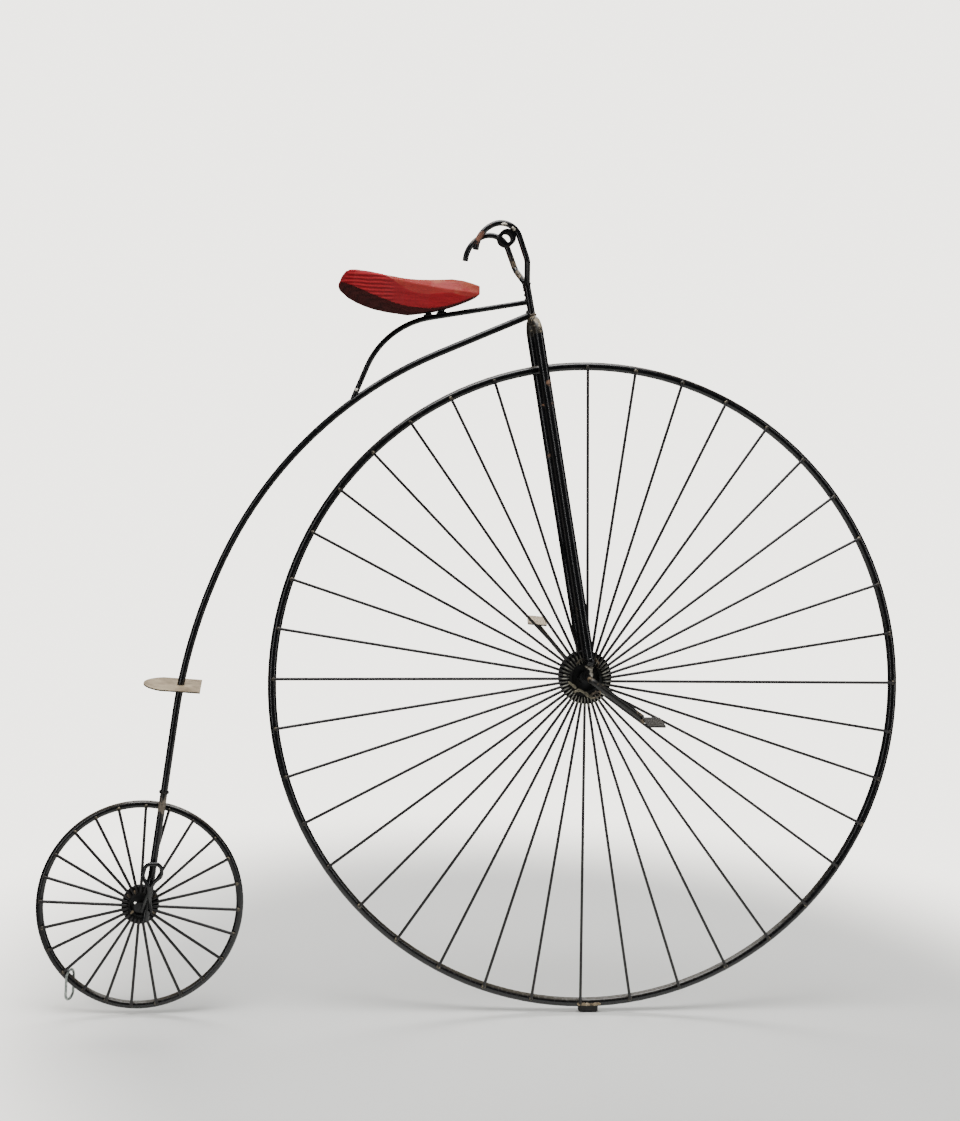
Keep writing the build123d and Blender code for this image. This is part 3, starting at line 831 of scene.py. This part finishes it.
def turned_head(mesh, centre, axis, radius, height, segments=24):
    """Lay a rivet head on a face: a low dome with a rounded edge."""
    start = axis.orthogonal().normalized()
    # share of the radius, share of the height
    profile = ((1.0, 0.0), (1.0, 0.35), (0.93, 0.62), (0.72, 0.86), (0.4, 0.97), (0.0, 1.0))
    rings = []
    for across, rise in profile[:-1]:
        turned = [Matrix.Rotation(2 * math.pi * k / segments, 3, axis) @ start for k in range(segments)]
        rings.append([mesh.verts.new(centre + t * radius * across + axis * height * rise) for t in turned])
    tip = mesh.verts.new(centre + axis * height)
    for low, high in zip(rings, rings[1:]):
        for k in range(segments):
            after = (k + 1) % segments
            mesh.faces.new((low[k], low[after], high[after], high[k]))
    for k in range(segments):
        mesh.faces.new((rings[-1][k], rings[-1][(k + 1) % segments], tip))
    mesh.faces.new(list(reversed(rings[0])))


rivet_radius = 3.4 * MM
rivet_head = 2 * MM
rivet_sunk = 0.4 * MM  # how far the head's flat side lies inside the round of the leg
mesh = bmesh.new()
for side in (-1, 1):
    foot = fork_base + fork_axis * rivet_height
    outward = Vector((0, side, 0))
    face = foot + outward * (fork_spacing / 2 + fork_rod / 2 - rivet_sunk)
    turned_head(mesh, face, outward, rivet_radius, rivet_head)
new_piece("foot_rivets", mesh, "frame", black_rod)


# ---- saddle ----


def grain_height(place):
    """How far a growth ring stands proud of the soft wood, from -1 to 1, at a place on the saddle."""
    across = math.hypot(place.y - pith[0] * MM, place.z - pith[1] * MM)
    return math.sin(2 * math.pi * across / (ring_width * MM))


def smooth_step(low, high, value):
    share = min(1.0, max(0.0, (value - low) / (high - low)))
    return share * share * (3 - 2 * share)


shaved_height = 15 * MM  # the long upper cut of the knife reaches this far down the side
shaved_depth = 3.4 * MM  # and takes this much off the top edge
shaved_from = -38 * MM  # it starts here, forward of the saddle's middle
shaved_whole = 2 * MM  # and is at its full height from here on
shaved_wander = 3 * MM  # how far its lower line strays up and down
ring_ridge = 0.22 * MM  # how far a hard ring stands proud of the soft wood
tool_mark = 0.3 * MM
undercut_share = 0.8  # how far the side falls in under its lower edge, for each unit of height
# how far the rear corner, the nose and its tip stand above the plain solid
rear_rise = 4.0 * MM
nose_rise = 0.8 * MM
tip_rise = 1.4 * MM
underside_below = -0.55  # upward part of the normal, under which a face belongs to the underside


def shaved_share(place):
    """Share of the upper cut's depth that is taken off at a place: none under the line where it ends."""
    wander = noise.noise(Vector((place.x / 0.03, 0.4, 0))) * shaved_wander
    reach = (shaved_height + wander) * smooth_step(shaved_from, shaved_whole, place.x)
    if reach < 0.5 * MM:
        return 0.0
    return min(1.0, max(0.0, 1 + place.z / reach))


def arris_height(along):
    """Height of the lower edge of the saddle's side, under which the wood is painted darker as painted
    shade.
    """
    bend = 0.0043 if along > 10 * MM else 0.0029  # per millimetre: steeper towards the nose
    return min(-16.0, -31.3 + bend * (along / MM - 10) ** 2) * MM


def rise_of_top(place):
    """How far the rounded rear corner and the nose stand above the plain solid."""
    rear = rear_rise * smooth_step(70.5 * MM, 77 * MM, -place.x) * smooth_step(-8 * MM, 4 * MM, place.z)
    nose = nose_rise * smooth_step(2 * MM, 25 * MM, place.x)
    nose += tip_rise * smooth_step(44 * MM, 62 * MM, place.x)
    return rear + nose * smooth_step(-8 * MM, 0, place.z)


def carve_saddle():
    """The saddle as it was cut with a knife: with its long upper cut, ridged rings and tool marks."""
    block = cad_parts["saddle"]
    carving = bpy.data.objects.new("carved_saddle", block.data.copy())
    bpy.context.scene.collection.objects.link(carving)
    remesh = carving.modifiers.new("even_mesh", "REMESH")
    remesh.mode = "VOXEL"
    remesh.voxel_size = 0.9 * MM
    graph = bpy.context.evaluated_depsgraph_get()
    even = bpy.data.meshes.new_from_object(carving.evaluated_get(graph))
    carving.modifiers.clear()
    carving.data = even

    even.materials.clear()
    for wood in (red_wood, worn_wood, underside_wood_in_painted_shade):
        even.materials.append(wood)
    for face in even.polygons:
        on_side = abs(face.normal.y) > 0.35
        on_cut = face.center.x > shaved_from + 2 * MM and shaved_share(face.center) > 0.02
        shaved = on_side and on_cut
        # Faces facing down, and those under the side's lower edge, take the darker wood: painted shade.
        below = face.normal.z < underside_below or face.center.z < arris_height(face.center.x)
        face.material_index = 2 if below else 1 if shaved else 0
    for vertex in even.vertices:
        place = vertex.co.copy()
        ringed = 0.08 + 0.92 * smooth_step((ridged_until + 6) * MM, (ridged_until - 2) * MM, place.x)
        tool = noise.noise(Vector((place.x / 0.02, place.y / 0.012, place.z / 0.006))) * tool_mark
        if vertex.normal.z < underside_below:
            ringed *= 0.3
        vertex.co += vertex.normal * (grain_height(place) * ring_ridge * ringed + tool)
        side = math.copysign(smooth_step(4 * MM, 14 * MM, abs(place.y)), place.y)
        undercut = max(0.0, arris_height(place.x) - place.z)
        vertex.co.y -= side * (shaved_depth * shaved_share(place) + undercut_share * undercut)
        vertex.co.z += rise_of_top(place)
    even.shade_smooth()
    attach(carving, "frame")
    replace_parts(carving, "saddle")
    return carving


carve_saddle()


# ---- floor, light and camera ----
floor_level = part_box("rim_joint")[0].z - 0.2 * MM
floor_radius = 0.95
floor_middle = Vector((front_rim_at.x, 0, floor_level))
floor_paint, tree, surface, place = new_material("pale_matt_floor", 0.6)
surface.inputs["Base Color"].default_value = colour("#f2f2ee")
# The floor thins out towards its rim, so that it passes into the background with no line.
away = add_node(tree, "ShaderNodeVectorMath", settings={"operation": "LENGTH"}, links={0: place})
cover = add_node(
    tree,
    "ShaderNodeMapRange",
    settings={"interpolation_type": "SMOOTHSTEP"},
    values={"From Min": 0.9, "From Max": 0.45},
    links={"Value": away.outputs["Value"]},
)
tree.links.new(cover.outputs["Result"], surface.inputs["Alpha"])
mesh = bmesh.new()
bmesh.ops.create_circle(mesh, cap_ends=True, segments=96, radius=floor_radius)
data = bpy.data.meshes.new("floor")
mesh.to_mesh(data)
mesh.free()
data.materials.append(floor_paint)
floor = bpy.data.objects.new("floor", data)
floor.location = floor_middle
bpy.context.scene.collection.objects.link(floor)

# The room looks pale behind the object, and lights it less than the lamps do.
seen_strength = 4.6
lighting_strength = 0.08
world = bpy.data.worlds.new("studio")
world.use_nodes = True
room = world.node_tree.nodes["Background"]
room.inputs["Color"].default_value = colour("#e6e3dc")
seen = add_node(world.node_tree, "ShaderNodeLightPath").outputs["Is Camera Ray"]
strength = add_node(
    world.node_tree,
    "ShaderNodeMapRange",
    values={"To Min": lighting_strength, "To Max": seen_strength},
    links={"Value": seen},
)
world.node_tree.links.new(strength.outputs["Result"], room.inputs["Strength"])
bpy.context.scene.world = world


def soft_light(name, place, aim, width, height, power):
    """A lamp with a flat front: tall and narrow ones draw a thin light line along a rod."""
    lamp = bpy.data.lights.new(name, "AREA")
    lamp.shape = "RECTANGLE"
    lamp.size = width
    lamp.size_y = height
    lamp.energy = power
    holder = bpy.data.objects.new(name, lamp)
    holder.location = place
    holder.rotation_mode = "QUATERNION"
    holder.rotation_quaternion = (Vector(aim) - Vector(place)).to_track_quat("-Z", "Y")
    bpy.context.scene.collection.objects.link(holder)


soft_light("left_strip", (-1.25, -1.25, -0.2), (0.05, 0, -0.35), 0.10, 1.8, 8)
soft_light("right_strip", (1.5, -1.0, -0.2), (0.05, 0, -0.35), 0.10, 1.6, 7)
soft_light("overhead", (0.0, -0.5, 1.5), (0.05, 0, -0.35), 1.8, 1.0, 62)
soft_light("back", (0.1, 1.4, 1.3), (0.05, 0.3, -0.7), 2.0, 0.6, 34)

frame_width, frame_height = 960, 1121  # pixels of the picture
focal_length = 1250  # pixels
optical_centre = (359, 450)  # pixels from the left and the top: the picture is cropped off centre
camera_yaw = math.radians(4.81)  # to the right of straight ahead
camera_pitch = math.radians(2.07)
camera_roll = math.radians(1.70)
lens = bpy.data.cameras.new("camera")
lens.sensor_width = 36.0
lens.lens = focal_length / frame_height * lens.sensor_width
lens.shift_x = (frame_width / 2 - optical_centre[0]) / frame_height
lens.shift_y = (optical_centre[1] - frame_height / 2) / frame_height
lens.clip_start = 0.05
camera = bpy.data.objects.new("camera", lens)
camera.matrix_world = (
    Matrix.Translation((-0.1684, -1.3868, -0.2411))
    @ Matrix.Rotation(-camera_yaw, 4, "Z")
    @ Matrix.Rotation(math.pi / 2 + camera_pitch, 4, "X")
    @ Matrix.Rotation(camera_roll, 4, "Z")
)
bpy.context.scene.collection.objects.link(camera)
bpy.context.scene.camera = camera
